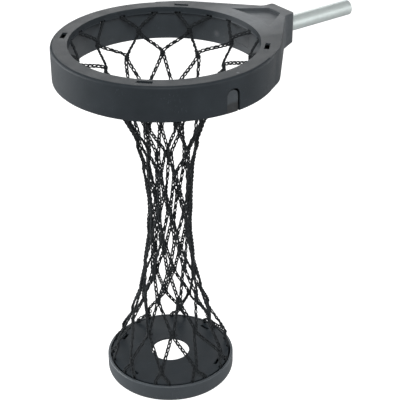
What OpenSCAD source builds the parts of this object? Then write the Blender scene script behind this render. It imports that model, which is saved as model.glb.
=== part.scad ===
// Hanging net basket: a moulded hoop on a steel tube, a knotless net and a ring-shaped base.
// Millimetres, +Z up. The origin is the centre of the tube's free end and +X leaves the
// hoop along the tube. The modules draw in the hoop's own frame, whose origin is the
// hoop's centre in its top plane, and placed() moves that frame to the tube's end.

/* [Hoop] */
// Diameter of the round mouth in the hoop's flat top
mouth_d = 254; // [230:2:290]
// Width of the hoop's flat top, from the mouth to the outside
flange_w = 23; // [22:1:30]
// Height of the hoop
hoop_h = 48; // [45:1:58]
// Thickness of the hoop's outer wall
wall_t = 3; // [2.4:0.2:3.6]
// Thickness of the flat top
flange_t = 3; // [2.4:0.2:3.6]
// Radius of the outer top edge
edge_r = 4; // [2:0.5:5]
// Height of the short skirt around the mouth
skirt_h = 9.5; // [8.5:0.5:12]
// Thickness of that skirt
skirt_t = 2.2; // [1.6:0.2:2.4]
// How far the outer wall draws in at its foot
wall_draft = 0; // [0:0.2:1.6]

/* [Liner] */
// How far the liner's inner face stands back from the mouth
liner_back = 4; // [3.4:0.2:4.4]
// Thickness of the liner's walls
liner_t = 2.5; // [2:0.1:2.8]
// Height of the gap that the net leaves through, under the skirt
net_gap = 2; // [1.4:0.2:3]
// Clearance between moulded pieces
mould_gap = 0.3; // [0.2:0.1:0.5]

/* [Clips and key slots] */
// Length of each clip slot in the flat top, along the hoop
slot_l = 20; // [16:1:24]
// Width of each clip slot in the flat top
slot_w = 6.6; // [5:0.2:8]
// Width of each clip arm
clip_w = 9; // [7:0.5:12]
// Thickness of each clip arm
clip_t = 2.2; // [1.8:0.1:2.6]
// Width of the arched key slots in the outer wall
key_w = 20; // [14:1:24]
// Height of the arched key slots
key_h = 33; // [26:1:38]

/* [Arm and tube] */
// How far the arm stands out from the hoop
arm_reach = 53; // [48:1:70]
// Width of the arm's square end
arm_w = 48; // [42:1:54]
// Height of the arm at its end
arm_h = 42; // [41:0.5:46]
// Radius of the hollow between the arm's end and its flank
arm_fillet = 14; // [8:1:24]
// Angle around the hoop at which the arm's flare leaves it
flare_a = 60; // [56:1:66]
// Angle that the arm's straight flank faces
flank_a = 42.5; // [41:0.5:45]
// How far the arm's flank stands out past the hoop's own tangent
flank_out = 3.6; // [1:0.2:5]
// Depth of the pocket in the arm's top
pocket_depth = 4.7; // [3:0.1:5]
// Outside diameter of the tube
tube_d = 22; // [20:0.5:24]
// Wall thickness of the tube
tube_t = 1.5; // [1:0.1:2]
// Length of the tube that stands out of the arm
tube_out = 121; // [80:1:300]
// Depth of the tube's axis below the hoop's top
tube_drop = 26; // [23:0.5:26.5]
// How far the tube's seated end is drawn in, which leaves a shoulder against the arm
swage = 0.5; // [0.3:0.1:0.8]
// Radial clearance of the tube in its socket
tube_fit = 0.05; // [0.02:0.01:0.1]
// Wall thickness of the tube's socket
socket_t = 3.2; // [2.4:0.2:4]
// Diameter of the bolt that holds the tube
bolt_d = 6; // [5:0.5:8]
// Length of the bolt under its head
bolt_l = 24; // [18:1:26]
// Width of the access cover in the liner
cover_w = 30; // [24:1:36]
// Height of the access cover
cover_h = 23; // [18:1:26]

/* [Net] */
// Number of meshes around the net
mesh_count = 10; // [8:1:12]
// Thickness of the braided legs
leg_d = 4; // [3:0.2:4.4]
// Radius of the net at its waist
waist_r = 30; // [26:1:40]
// Drop from the hoop's top to the base plate's top
drop = 497; // [440:1:560]
// Angle that the base hangs turned from the hoop
base_turn = 11; // [0:1:18]

/* [Base] */
// Outside diameter of the base
base_d = 188; // [180:1:220]
// Height of the base
base_h = 28; // [26:0.5:34]
// Width of the base's rim, from the outside to the groove
rim_w = 4; // [3.5:0.5:6]
// How far the rim stands above the base plate
rim_rise = 0; // [0:0.5:3]
// Width of the groove that holds the net
groove_w = 2.6; // [1.8:0.2:2.8]
// Thickness of the base plate
plate_t = 2.5; // [2:0.1:3]
// Diameter of the hole in the base plate
hole_d = 56; // [40:1:70]
// Length of the clip slots in the base plate
plate_slot_l = 15; // [12:1:18]
// Width of the clip slots in the base plate
plate_slot_w = 4.4; // [3.6:0.2:5]

/* [Hidden] */
$fn = 64;

// Hoop
mouth_r = mouth_d / 2;
hoop_r = mouth_r + flange_w;
foot_r = hoop_r - wall_draft;
foot_round = 2.2;
mouth_round = 0.8;
lip_out = 0.8;
lip_h = 1.4;
notch_lead = 0.9;
notch_spare = 5;
notch_back = 2;
notch_past = 0.5;
notch_h = leg_d * 0.65;
// Liner
liner_r = mouth_r + liner_back;
liner_top = -skirt_h - net_gap;
web_top = -hoop_h + liner_t;
web_r = foot_r - wall_t - mould_gap;
tooth_w = 20;
tooth_in = 0.6;
// Net inside the hoop
leg_r = leg_d / 2;
loop_r = liner_r + liner_t + mould_gap + leg_r;
pitch = 360 / mesh_count;
leg_spread = 6.5 * 10 / mesh_count;
// Clips of the hoop: arms on the liner hold under shelves in the shell
clip_play = 0.5;
clip_r = loop_r + leg_r + clip_play;
clip_barb = 1.2;
clip_top = -9;
shelf_r = clip_r + clip_t + clip_play;
shelf_top = -14.6;
shelf_t = 2.5;
// Height that a barb keeps clear of its shelf, and of its arm's tip
barb_play = 0.2;
barb_back = 2;
slot_in = 9;
slot_r = mouth_r + slot_in;
clip_angles = [45, 135, 225, 315];
key_angles = [90, 270];
tongue_gap = 0.8;
tongue_slit = 2.4;
tongue_inset = 1.5;
tongue_back = 6;
key_back = 4;
lap = 1;
// Arm
arm_end = hoop_r + arm_reach;
arm_half = arm_w / 2;
arm_wall = 3;
arm_corner = 3.5;
flank_round = 70;
// How deep in the hoop's wall the arm's flare starts
flare_in = 1.5;
web_t = 2.5;
web_in = 18;
arm_rise = 14;
plate_lap = 1;
pocket_in = 16;
pocket_end = arm_end - pocket_in;
pocket_half = 12.5;
pocket_back = 8;
pocket_r = hoop_r + 1;
pocket_a = 16.5;
pocket_round = 3.5;
pocket_floor = 2.5;
pad_out = 3;
pad_x = hoop_r - wall_t - pad_out;
pad_edge = 2.5;
stop_x = hoop_r + 1;
// Tube and bolt
tube_r = tube_d / 2;
seated_r = tube_r - swage;
socket_r = seated_r + tube_fit + socket_t;
tube_end = arm_end + tube_out;
washer_t = 1.5;
washer_r = bolt_d;
head_h = bolt_d * 2 / 3;
head_r = bolt_d * 0.96;
bolt_play = 0.3;
thread_fit = 0.05;
plug_l = 18;
// Access cover
cover_z = -26;
cover_round = 4.5;
cover_tab = 2;
cover_tab_t = 1.9;
cover_tab_h = 8;
cover_neck = 3;
cover_cut_in = 5;
cover_cut_out = 2;
// Net rows below the hoop's top: two close rows, then even rows down to the base
row_first = 28;
row_second = 50;
last_rise = 19;
row_count = 11;
row_pitch = (drop - last_rise - row_second) / (row_count - 2);
// Share of the way from the waist out to the hoop's gap, rows 1 to 6, and to the base's
// groove, rows 7 to 11
upper_share = [0.83, 0.53, 0.30, 0.145, 0.07, 0.01];
lower_share = [0.04, 0.12, 0.28, 0.52, 0.86];
band_rows = [0, 3, 5, 7];
joint_off = leg_r * 0.62;
// Gap between two bands of the net, and between the net and what it passes
band_gap = 0.3;
net_clear = 0.4;
foot_turn = 2.2;
// Share of a leg's spread that the loop behind the liner keeps
loop_share = 0.86;
// Base
base_r = base_d / 2;
rim_in = base_r - rim_w;
plate_r = rim_in - groove_w;
rim_t = 2.6;
rim_foot = rim_rise - base_h;
rim_bend = 9;
rim_edge = 2.8;
rim_inner = 0.8;
rim_skirt = 8;
rim_floor = rim_foot + rim_t;
seat_in = 19.8;
seat_r = plate_r - seat_in;
seat_t = 2;
notch_r = rim_in - leg_r - net_clear;
notch_d = 3;
rim_lap = 1;
notch_w = leg_d + 1;
under_in = 2.8;
under_r = notch_r - under_in;
under_z = -plate_t - net_clear - leg_r * 1.5;
base_clip_in = 15.5;
base_clip_r = plate_r - base_clip_in;
base_clip_up = 3.8;
base_clip_z = rim_floor + base_clip_up;
base_bar_up = 7.4;
base_bar_z = rim_floor + base_bar_up;
base_bar_t = 2.4;
base_bar_edge = 3;
base_bar_play = 0.5;
base_clips = [for (share = [0, 0.3, 0.5, 0.8]) floor(mesh_count * share + 0.01) * pitch];

eps = 0.01;
// How far a cut runs past the solid that it cuts
over = 1;
radian = 180 / PI;

// ---------------------------------------------------------------- helpers
function unit(v) = v / norm(v);
function arc(cx, cy, r, a0, a1, n = 6) =
    [for (i = [0:n]) let (a = a0 + (a1 - a0) * i / n) [cx + r * cos(a), cy + r * sin(a)]];
// Arc that rounds the corner p1 between its neighbours p0 and p2
function corner(p0, p1, p2, r, n = 6) =
    let (u = unit(p0 - p1), v = unit(p2 - p1), half = acos(u * v) / 2,
         c = p1 + unit(u + v) * r / sin(half), s = p1 + u * r / tan(half), e = p1 + v * r / tan(half),
         a0 = atan2(s.y - c.y, s.x - c.x), turn = (atan2(e.y - c.y, e.x - c.x) - a0 + 540) % 360 - 180)
    arc(c.x, c.y, r, a0, a0 + turn, n);
// Closed outline with corner i rounded to radii[i]; a radius of 0 keeps the corner
function rounded(p, radii) =
    [for (i = [0:len(p) - 1])
        each radii[i] == 0 ? [p[i]]
            : corner(p[(i + len(p) - 1) % len(p)], p[i], p[(i + 1) % len(p)], radii[i])];
function at_polar(r, a, z) = [r * cos(a), r * sin(a), z];

module turned(a) rotate([0, 0, a]) children();
module placed() translate([-tube_end, 0, tube_drop]) children();
// Ring of rectangular section, whole or a sector centred on angle 0
module ring(r0, r1, z0, z1) rotate_extrude() translate([r0, z0]) square([r1 - r0, z1 - z0]);
module sector(r0, r1, z0, z1, half)
    turned(-half) rotate_extrude(angle = 2 * half) translate([r0, z0]) square([r1 - r0, z1 - z0]);
// Block that runs out along +X from r0 to r1
module block(r0, r1, w, z0, z1) translate([r0, -w / 2, z0]) cube([r1 - r0, w, z1 - z0]);
// Rod along +X
module rod(x0, x1, r) translate([x0, 0, -tube_drop]) rotate([0, 90, 0]) cylinder(h = x1 - x0, r = r);
// Prism along +X over an outline drawn in Y and Z
module prism_x(x0, x1, points)
    translate([x0, 0, 0]) rotate([90, 0, 90]) linear_extrude(x1 - x0) polygon(points);
function box_points(w, h, z, r) =
    rounded([[-w / 2, z - h / 2], [w / 2, z - h / 2], [w / 2, z + h / 2], [-w / 2, z + h / 2]],
            [r, r, r, r]);
// Arch that stands on the hoop's foot
function arch_points(w, h, drop_top = 0) =
    concat([[-w / 2, -hoop_h - over], [w / 2, -hoop_h - over]],
           arc(0, -hoop_h + h - w / 2 - drop_top, w / 2, 0, 180, 12));

// ---------------------------------------------------------------- hoop shell
shell_points = concat(
    arc(mouth_r + mouth_round, -mouth_round, mouth_round, 180, 90, 3),
    arc(hoop_r - edge_r, -edge_r, edge_r, 90, 0, 8),
    arc(foot_r - foot_round, -hoop_h + foot_round, foot_round, 0, -90, 5),
    [[foot_r - wall_t, -hoop_h], [hoop_r - wall_t, -flange_t],
     [mouth_r + skirt_t, -flange_t], [mouth_r + skirt_t, -skirt_h],
     [mouth_r - lip_out, -skirt_h], [mouth_r - lip_out, -skirt_h + lip_h],
     [mouth_r, -skirt_h + lip_h + lip_out]]);

// Plan of the arm, drawn in by d on every side
function arm_points(d = 0) =
    let (f = hoop_r + flank_out - d, r = hoop_r - flare_in - d, w = arm_half - d,
         // Where the flank meets the flare, and where it meets the arm's side
         s = sin(flare_a - flank_a),
         p = [f * sin(flare_a) - r * sin(flank_a), r * cos(flank_a) - f * cos(flare_a)] / s,
         x = (f - w * sin(flank_a)) / cos(flank_a))
    rounded([[r * cos(flare_a), r * sin(flare_a)], p, [x, w], [arm_end - d, w],
             [arm_end - d, -w], [x, -w], [p.x, -p.y], [r * cos(flare_a), -r * sin(flare_a)]],
            [0, flank_round, arm_fillet + d, arm_corner - d / 2,
             arm_corner - d / 2, arm_fillet + d, flank_round, 0]);
module arm_plan(d = 0, r = hoop_r - wall_t / 2) difference() {
    polygon(arm_points(d));
    circle(r = r, $fn = 128);
}
// Plan of the pocket, drawn out by d
function pocket_points(d = 0) =
    let (x = (pocket_r - pocket_back) * cos(pocket_a), y = pocket_r * sin(pocket_a) + pocket_back / 2 + d,
         e = pocket_end + d, w = pocket_half + d)
    rounded([[x, -y], [e, -w], [e, w], [x, y]], [0, pocket_round, pocket_round, 0]);
module pocket_plan(d = 0) difference() {
    polygon(pocket_points(d));
    circle(r = pocket_r - d, $fn = 128);
}
module arm_block() intersection() {
    union() {
        // Top plate, which laps over the hoop's rounded edge
        translate([0, 0, -flange_t]) linear_extrude(flange_t) arm_plan(0, hoop_r - edge_r - plate_lap);
        translate([0, 0, -hoop_h]) linear_extrude(hoop_h) difference() {
            arm_plan();
            polygon(arm_points(arm_wall));
        }
        translate([0, 0, -pocket_depth - pocket_floor])
            linear_extrude(pocket_depth + pocket_floor) pocket_plan(pocket_floor);
        rod(hoop_r - wall_t / 2, arm_end - eps, socket_r);
        // Webs that tie the socket to the top and the sides
        for (x = [hoop_r + web_in, arm_end - web_in])
            intersection() {
                block(x - web_t / 2, x + web_t / 2, arm_w, -tube_drop - socket_r / 2, -flange_t / 2);
                translate([0, 0, -hoop_h]) linear_extrude(hoop_h) polygon(arm_points(arm_wall / 2));
            }
        // It starts inside the hoop's wall, so that the two don't meet on a line alone
        block(hoop_r - wall_t / 2, arm_end - arm_wall / 2, web_t,
              -tube_drop, -pocket_depth - pocket_floor / 2);
    }
    translate([0, hoop_r, 0]) rotate([90, 0, 0]) linear_extrude(2 * hoop_r)
        polygon([[0, 0], [0, -hoop_h], [arm_end - arm_rise, -hoop_h], [arm_end, -arm_h],
                 [arm_end + over, -arm_h], [arm_end + over, 0]]);
}
module hoop_shell() color("#3b3f43") placed() difference() {
    union() {
        rotate_extrude($fn = 180) polygon(shell_points);
        arm_block();
        // Pad that the tube's bolt pulls against
        block(pad_x, hoop_r - wall_t / 2, 2 * (washer_r + pad_edge),
              -tube_drop - washer_r - pad_edge, -tube_drop + washer_r + pad_edge);
        // Shelves that the liner's clips hold
        for (a = clip_angles) turned(a)
            sector(shelf_r, hoop_r - wall_t / 2, shelf_top - shelf_t, shelf_top,
                   slot_l / 2 / hoop_r * radian);
    }
    for (a = clip_angles) turned(a)
        block(slot_r - slot_w / 2, slot_r + slot_w / 2, slot_l, -flange_t - over, over);
    for (a = key_angles) turned(a)
        prism_x(hoop_r - wall_t - key_back, hoop_r + over, arch_points(key_w, key_h));
    // Notches in the skirt's edge, one for each leg of the net, which leaves it on the slant
    for (m = [0:mesh_count - 1], side = [-1, 1])
        turned((m + 0.5) * pitch + side * (leg_spread + notch_lead))
            block(mouth_r - notch_back, mouth_r + skirt_t + notch_past, leg_d + notch_spare,
                  -skirt_h - over, -skirt_h + notch_h);
    translate([0, 0, -pocket_depth]) linear_extrude(pocket_depth + over) pocket_plan();
    rod(stop_x, arm_end + over, seated_r + tube_fit);
    rod(pad_x - over, stop_x + over, bolt_d / 2 + bolt_play);
}

// ---------------------------------------------------------------- hoop liner
// Outline of the access cover through the liner's wall, drawn out by d
module cover_prism(d = 0)
    prism_x(liner_r - cover_cut_in, liner_r + liner_t + cover_cut_out,
            box_points(cover_w + 2 * d, cover_h + 2 * d, cover_z, cover_round + d));
module hoop_liner() color("#35393c") placed() {
    difference() {
        union() {
            ring(liner_r, liner_r + liner_t, -hoop_h, liner_top);
            ring(liner_r + lap, web_r, -hoop_h, web_top);
            // Teeth that the net's loops hang behind; they meet the underside of the flat top
            for (m = [0:mesh_count - 1]) turned((m + 0.5) * pitch)
                sector(liner_r + tooth_in, liner_r + liner_t, liner_top - lap, -flange_t,
                       tooth_w / 2 / liner_r * radian);
        }
        cover_prism(mould_gap);
    }
    // Clip arms with barbs over the shell's shelves
    for (a = clip_angles) turned(a) {
        block(clip_r, clip_r + clip_t, clip_w, web_top - lap, clip_top);
        block(clip_r + clip_t - eps, shelf_r + clip_barb, clip_w,
              shelf_top + barb_play, clip_top - barb_back);
    }
    // Tongues that fill the key slots, with a wide slit on one side
    for (a = key_angles) turned(a) intersection() {
        sector(web_r - lap, foot_r - tongue_inset, -hoop_h, 0, key_w / 2 / web_r * radian);
        translate([0, (tongue_gap - tongue_slit) / 2, 0])
            prism_x(web_r - tongue_back, hoop_r,
                    arch_points(key_w - tongue_gap - tongue_slit, key_h, tongue_slit));
    }
}

// ---------------------------------------------------------------- access cover
// Part of a tab: it reaches out past the cover's edge by past, and starts behind the wall by off
module cover_tab_part(side, past, off) intersection() {
    ring(liner_r + liner_t + off, liner_r + liner_t + cover_tab_t,
         cover_z - cover_tab_h / 2, cover_z + cover_tab_h / 2);
    translate([0, 0, cover_z]) rotate([side, 0, 0])
        translate([liner_r - cover_tab_h, cover_w / 2 - cover_neck, -cover_tab_h])
            cube([3 * cover_tab_h, cover_neck + past, 2 * cover_tab_h]);
}
module access_cover() color("#35393c") placed() {
    intersection() {
        ring(liner_r, liner_r + liner_t, cover_z - cover_h, cover_z + cover_h);
        cover_prism();
    }
    // Tabs that stand on its back and hook behind the liner's wall
    for (side = [0, 180]) {
        cover_tab_part(side, 0, -eps);
        cover_tab_part(side, cover_tab, mould_gap);
    }
}

// ---------------------------------------------------------------- tube and its bolt
module tube() color("#b8bebc") placed() difference() {
    union() {
        rod(arm_end, tube_end, tube_r);
        rod(stop_x, arm_end + eps, seated_r);
    }
    rod(arm_end, tube_end + over, tube_r - tube_t);
    rod(stop_x - over, arm_end + eps, seated_r - tube_t);
}
module tube_plug() color("#e4e2d8") placed() difference() {
    rod(stop_x, stop_x + plug_l, seated_r - tube_t - tube_fit);
    rod(stop_x - over, stop_x + plug_l + over, bolt_d / 2 + thread_fit);
}
module tube_bolt() color("#9da2a4") placed() {
    rod(pad_x - washer_t, pad_x - washer_t + bolt_l, bolt_d / 2);
    translate([pad_x - washer_t - head_h, 0, -tube_drop]) rotate([0, 90, 0])
        cylinder(h = head_h, r = head_r, $fn = 6);
}
module bolt_washer() color("#a9adae") placed() difference() {
    rod(pad_x - washer_t, pad_x, washer_r);
    rod(pad_x - washer_t - over, pad_x + over, bolt_d / 2 + bolt_play);
}

// ---------------------------------------------------------------- net
function row_z(k) = k == 1 ? -row_first : -row_second - (k - 2) * row_pitch;
function row_r(k) = k <= 6 ? waist_r + (liner_r - waist_r) * upper_share[k - 1]
                           : waist_r + (notch_r - waist_r) * lower_share[k - 7];
function turn_at(z) = base_turn * min(1, max(0, -z / drop));
// Strands run in pairs, one on each side of a loop; side -1 is the first and 1 the second.
// A strand zigzags between the joints on its two sides.
function strand_a(m, side, k) =
    let (mid = (m + 0.5) * pitch, off = joint_off / row_r(k) * radian)
    k % 2 == 1 ? mid + side * (pitch / 2 - off) : mid + side * off;
function row_point(m, side, k) = at_polar(row_r(k), strand_a(m, side, k) + turn_at(row_z(k)), row_z(k));
// Run of one side from row k0 to row k1; where another band goes on, it stops short by half the gap
function side_run(m, side, k0, k1) =
    [for (k = [k0:k1]) row_point(m, side, k)
        + [0, 0, k == k0 && k0 > 1 ? -band_gap / 2 : k == k1 && k1 < row_count ? band_gap / 2 : 0]];
function backward(p) = [for (i = [len(p) - 1:-1:0]) p[i]];
function top_half(m, side) =
    let (a = (m + 0.5) * pitch)
    [at_polar(liner_r - leg_r, a + side * leg_spread, liner_top + leg_r + net_clear),
     at_polar(loop_r, a + side * leg_spread * loop_share, liner_top + leg_r + net_clear)];
function foot_half(m, side) =
    let (a = (m + 0.5) * pitch + side * (pitch / 2 - leg_spread) + base_turn)
    [at_polar(notch_r, a, -drop + plate_t / 2),
     at_polar(notch_r, a, -drop - plate_t - net_clear - leg_r / 2),
     at_polar(under_r, a - side * foot_turn, -drop + under_z)];
function top_strand(m) = concat(backward(side_run(m, -1, 1, band_rows[1])), top_half(m, -1),
    backward(top_half(m, 1)), side_run(m, 1, 1, band_rows[1]));
function foot_strand(m) = concat(side_run(m, -1, band_rows[3], row_count), foot_half(m, -1),
    backward(foot_half(m, 1)), backward(side_run(m, 1, band_rows[3], row_count)));

// Six-sided tube along points: level at its two ends, and square to the path's bisectors between
sides = 6;
function along(p, i) =
    i == 0 ? [0, 0, sign(p[1].z - p[0].z)]
    : i == len(p) - 1 ? [0, 0, sign(p[i].z - p[i - 1].z)]
    : unit(unit(p[i + 1] - p[i]) + unit(p[i] - p[i - 1]));
function tube_ring(p, i, r) =
    let (t = along(p, i), out = unit([p[i].x, p[i].y, 0.001]), s = unit(cross(t, out)), n = cross(s, t))
    [for (q = [0:sides - 1]) let (a = 360 * q / sides) p[i] + r * (cos(a) * s + sin(a) * n)];
module swept(p, r) {
    n = len(p);
    points = [for (i = [0:n - 1]) each tube_ring(p, i, r)];
    skin = [for (i = [0:n - 2], q = [0:sides - 1])
        let (a = i * sides + q, b = i * sides + (q + 1) % sides, c = a + sides, d = b + sides)
        each [[a, b, d], [a, d, c]]];
    cap = [for (q = [1:sides - 2]) [0, q + 1, q]];
    end = [for (q = [1:sides - 2]) [(n - 1) * sides, (n - 1) * sides + q, (n - 1) * sides + q + 1]];
    polyhedron(points, concat(skin, cap, end));
}
module net_top() color("#1d2022") placed()
    for (m = [0:mesh_count - 1]) swept(top_strand(m), leg_r);
module net_band(k0, k1) color("#1d2022") placed()
    for (m = [0:mesh_count - 1], side = [-1, 1]) swept(side_run(m, side, k0, k1), leg_r);
module net_upper() net_band(band_rows[1], band_rows[2]);
module net_waist() net_band(band_rows[2], band_rows[3]);
module net_lower() color("#1d2022") placed()
    for (m = [0:mesh_count - 1]) swept(foot_strand(m), leg_r);

// ---------------------------------------------------------------- base
module at_base() placed() translate([0, 0, -drop]) turned(base_turn) children();
rim_points = concat(
    [[seat_r - rim_lap, rim_foot]],
    arc(base_r - rim_bend, rim_foot + rim_bend, rim_bend, -90, 0, 8),
    arc(base_r - rim_edge, rim_rise - rim_edge, rim_edge, 0, 90, 6),
    arc(rim_in + rim_inner, rim_rise - rim_inner, rim_inner, 90, 180, 4),
    [[rim_in, -rim_skirt], [base_r - rim_t, rim_in - base_r + rim_t - rim_skirt]],
    arc(base_r - rim_bend, rim_foot + rim_bend, rim_bend - rim_t, 0, -90, 8),
    [[seat_r - rim_lap, rim_floor]]);
module base_rim() color("#3b3f43") at_base() {
    rotate_extrude($fn = 128) polygon(rim_points);
    // Bridges that the plate's clips catch under
    for (a = base_clips) turned(a) difference() {
        block(base_clip_r + clip_t + net_clear, base_clip_r + clip_t + net_clear + base_bar_t,
              clip_w + 2 * base_bar_edge, rim_floor - eps, base_bar_z + base_bar_t);
        block(base_clip_r, base_clip_r + clip_t + net_clear + base_bar_t + over,
                  clip_w + 2 * base_bar_play, rim_floor, base_bar_z);
    }
}
module base_plate() color("#35393c") at_base() {
    difference() {
        ring(hole_d / 2, plate_r, -plate_t, 0);
        for (a = base_clips) turned(a)
            block(base_clip_r + clip_t, base_clip_r + clip_t + plate_slot_w, plate_slot_l,
                  -plate_t - over, over);
        for (m = [0:mesh_count - 1], side = [-1, 1]) turned(m * pitch + side * leg_spread)
            block(plate_r - notch_d, plate_r + over, notch_w, -plate_t - over, over);
    }
    // Skirt that stands on the rim's floor
    ring(seat_r, seat_r + seat_t, rim_floor, -plate_t + eps);
    // Clip arms
    for (a = base_clips) turned(a) {
        block(base_clip_r, base_clip_r + clip_t, clip_w, base_clip_z, -plate_t + eps);
        block(base_clip_r + clip_t - eps, base_clip_r + clip_t + net_clear + clip_barb, clip_w,
              base_clip_z, base_bar_z - barb_play);
    }
}

hoop_shell();
hoop_liner();
access_cover();
tube();
tube_plug();
tube_bolt();
bolt_washer();
net_top();
net_upper();
net_waist();
net_lower();
base_plate();
base_rim();
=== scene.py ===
"""Looks of a hanging net basket: a moulded hoop on a steel tube, a knotless net and a ring base.

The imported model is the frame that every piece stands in: metres, +Z up, the origin at the free
end of the tube and +X along the tube, out of the hoop.
"""

import logging
import math
import random
from dataclasses import dataclass
from enum import Enum
from typing import Any, ClassVar, Mapping, Optional, Sequence, Union

import bmesh
import bpy
import numpy as np
from mathutils import Matrix, Vector


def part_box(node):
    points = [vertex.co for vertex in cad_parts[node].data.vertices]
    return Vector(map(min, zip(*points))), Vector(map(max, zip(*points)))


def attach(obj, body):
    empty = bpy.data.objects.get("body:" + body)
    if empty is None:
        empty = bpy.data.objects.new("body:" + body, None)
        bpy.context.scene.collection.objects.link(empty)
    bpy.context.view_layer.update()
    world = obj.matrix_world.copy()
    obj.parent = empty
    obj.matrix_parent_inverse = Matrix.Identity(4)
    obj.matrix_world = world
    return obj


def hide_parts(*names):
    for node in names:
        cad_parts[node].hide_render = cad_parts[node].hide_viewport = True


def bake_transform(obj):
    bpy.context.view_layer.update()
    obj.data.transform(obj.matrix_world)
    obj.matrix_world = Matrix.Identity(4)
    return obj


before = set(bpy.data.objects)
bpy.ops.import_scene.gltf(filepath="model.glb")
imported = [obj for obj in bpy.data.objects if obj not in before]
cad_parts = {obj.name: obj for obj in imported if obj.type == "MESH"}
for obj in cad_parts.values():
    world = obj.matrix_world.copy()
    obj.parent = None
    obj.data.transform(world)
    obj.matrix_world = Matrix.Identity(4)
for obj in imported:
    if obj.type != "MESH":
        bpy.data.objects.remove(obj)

LOG = logging.getLogger("net_basket")
MM = 0.001
YARN_MAP = "yarn"
Colour = tuple[float, float, float]
Place = tuple[float, float, float]


def new_object(name: str, data: Any) -> bpy.types.Object:
    """Put a new object into the scene.

    Args:
        name: Its name.
        data: Its mesh, camera or light.

    Returns:
        The object.
    """
    made = bpy.data.objects.new(name, data)
    bpy.context.scene.collection.objects.link(made)
    return made


# ---- shader kit
class Wire:
    """An output socket of a shader, with Python's operators as Math nodes."""

    def __init__(self, shader: "Shader", socket: bpy.types.NodeSocket) -> None:
        """Wrap an output socket of a shader."""
        self.shader = shader
        self.socket = socket

    def math(self, operation: str, first: "Operand", second: "Operand" = 0.0) -> "Wire":
        """The result of a Math node on one or two operands."""
        node = self.shader.node("ShaderNodeMath", {"operation": operation}, {0: first, 1: second})
        return self.shader.wire(node)

    def __add__(self, other: "Operand") -> "Wire":
        """Sum."""
        return self.math("ADD", self, other)

    __radd__ = __add__

    def __sub__(self, other: "Operand") -> "Wire":
        """Difference."""
        return self.math("SUBTRACT", self, other)

    def __rsub__(self, other: "Operand") -> "Wire":
        """Difference with a number on the left, as in 1 - mask."""
        return self.math("SUBTRACT", other, self)

    def __mul__(self, other: "Operand") -> "Wire":
        """Product."""
        return self.math("MULTIPLY", self, other)

    __rmul__ = __mul__

    def sine(self) -> "Wire":
        """Sine of the value in radians."""
        return self.math("SINE", self)

    def fit(self, low: float, high: float, to_low: float = 0.0, to_high: float = 1.0) -> "Wire":
        """The value with its range from low to high mapped to another range, and clamped."""
        node = self.shader.node(
            "ShaderNodeMapRange",
            {"clamp": True},
            {"Value": self, "From Min": low, "From Max": high, "To Min": to_low, "To Max": to_high},
        )
        return self.shader.wire(node, "Result")


Operand = Union[Wire, float]
Tint = Union[Wire, tuple[float, ...]]


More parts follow.
